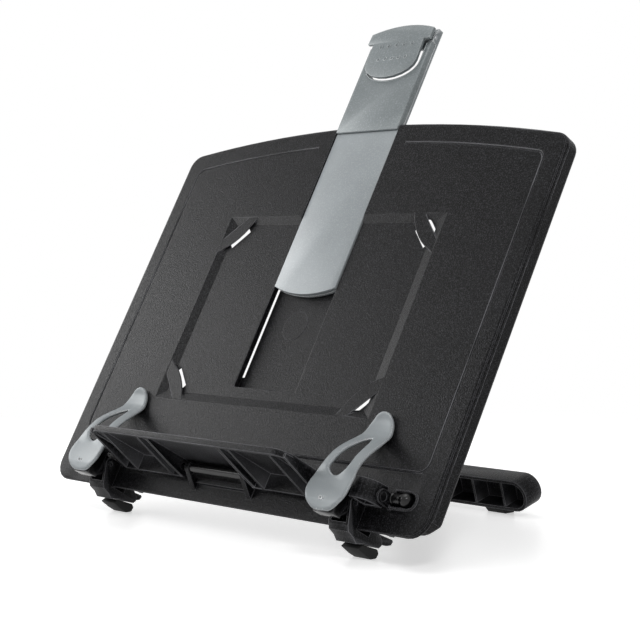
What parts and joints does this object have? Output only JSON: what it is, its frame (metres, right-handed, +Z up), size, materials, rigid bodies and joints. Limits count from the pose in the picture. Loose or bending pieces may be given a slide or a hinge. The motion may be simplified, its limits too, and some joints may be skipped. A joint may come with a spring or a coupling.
{
  "type": "book stand",
  "caption": "Folding book stand: a leaning board with a sliding page arm, a fold-up ledge, sprung page clips and a hinged rear leg.",
  "frame": {"origin": "on the table, under the middle of the stand's bounding box", "axes": "+X across the board to the reader's right, +Y from the reader to the back, +Z up"},
  "size_m": [0.35, 0.2338, 0.3279],
  "materials": {
    "black_moulded_plastic": "fine moulded texture",
    "black_smooth_plastic": "smooth moulded",
    "silver_grey_plastic": "satin, metallic flake",
    "light_grey_plastic": "satin",
    "mid_grey_plastic": "satin",
    "black_rubber": "matt",
    "plated_steel": "zinc plated",
    "fibre_washer": "pressed fibre"
  },
  "bodies": {
    "board": {"front_panel": "black_moulded_plastic", "rear_frame": "black_moulded_plastic", "arm_guide": "black_moulded_plastic", "shell_screw_1": "plated_steel", "shell_screw_2": "plated_steel", "shell_screw_3": "plated_steel", "shell_screw_4": "plated_steel", "shell_screw_5": "plated_steel", "shell_screw_6": "plated_steel", "leg_hinge_bracket": "black_moulded_plastic", "leg_hinge_pin": "plated_steel", "leg_washer_left": "fibre_washer", "leg_washer_right": "fibre_washer", "hinge_screw_left_1": "plated_steel", "hinge_screw_left_2": "plated_steel", "hinge_screw_right_1": "plated_steel", "hinge_screw_right_2": "plated_steel", "foot_bracket_left": "black_moulded_plastic", "foot_bracket_right": "black_moulded_plastic", "front_sole_left": "black_rubber", "front_sole_right": "black_rubber", "clip_pin_left": "plated_steel", "clip_pin_right": "plated_steel", "clip_spring_left": "plated_steel", "clip_spring_right": "plated_steel", "bracket_screw_left": "plated_steel", "bracket_screw_right": "plated_steel", "end_stud_left": "black_smooth_plastic", "end_stud_right": "black_smooth_plastic"},
    "arm": {"arm_lower_cover": "light_grey_plastic", "arm_upper_cover": "mid_grey_plastic", "arm_back_plate": "silver_grey_plastic", "arm_retainer": "black_smooth_plastic", "top_clip_pin": "plated_steel", "top_clip_spring": "plated_steel"},
    "top_clip": {"top_clip": "mid_grey_plastic"},
    "ledge": {"ledge_tray": "black_moulded_plastic", "ledge_rod": "black_smooth_plastic", "ledge_pin_left": "black_smooth_plastic", "ledge_pin_right": "black_smooth_plastic"},
    "page_clip_left": {"clip_lever_left": "silver_grey_plastic", "clip_rocker_left": "black_smooth_plastic"},
    "page_clip_right": {"clip_lever_right": "silver_grey_plastic", "clip_rocker_right": "black_smooth_plastic"},
    "rear_leg": {"leg_post": "black_moulded_plastic", "foot_bar": "black_moulded_plastic", "rear_foot_left": "black_rubber", "rear_foot_right": "black_rubber", "foot_bar_screw_left": "plated_steel", "foot_bar_screw_right": "plated_steel"}
  },
  "joints": [
    {"name": "arm_slide", "type": "slide", "parent": "board", "child": "arm", "axis": [0, 0.4883, 0.8727], "range_m": [-0.067, 0]},
    {"name": "top_clip_hinge", "type": "hinge", "parent": "arm", "child": "top_clip", "pos_m": [0, 0.07996, 0.31737], "axis": [-1, 0, 0], "range_deg": [0, 15], "stiffness_Nm_per_rad": 0.15, "springref_deg": -11.46},
    {"name": "ledge_fold", "type": "hinge", "parent": "board", "child": "ledge", "pos_m": [0, -0.08516, 0.03929], "axis": [-1, 0, 0], "range_deg": [0, 90]},
    {"name": "page_clip_left_hinge", "type": "hinge", "parent": "board", "child": "page_clip_left", "pos_m": [-0.116, -0.0881, 0.03383], "axis": [1, 0, 0], "range_deg": [0, 25], "stiffness_Nm_per_rad": 0.25, "springref_deg": -14.32},
    {"name": "page_clip_right_hinge", "type": "hinge", "parent": "board", "child": "page_clip_right", "pos_m": [0.116, -0.0881, 0.03383], "axis": [1, 0, 0], "range_deg": [0, 25], "stiffness_Nm_per_rad": 0.25, "springref_deg": -14.32},
    {"name": "leg_fold", "type": "hinge", "parent": "board", "child": "rear_leg", "pos_m": [0, 0.04569, 0.21966], "axis": [1, 0, 0], "range_deg": [-45, 20]}
  ]
}
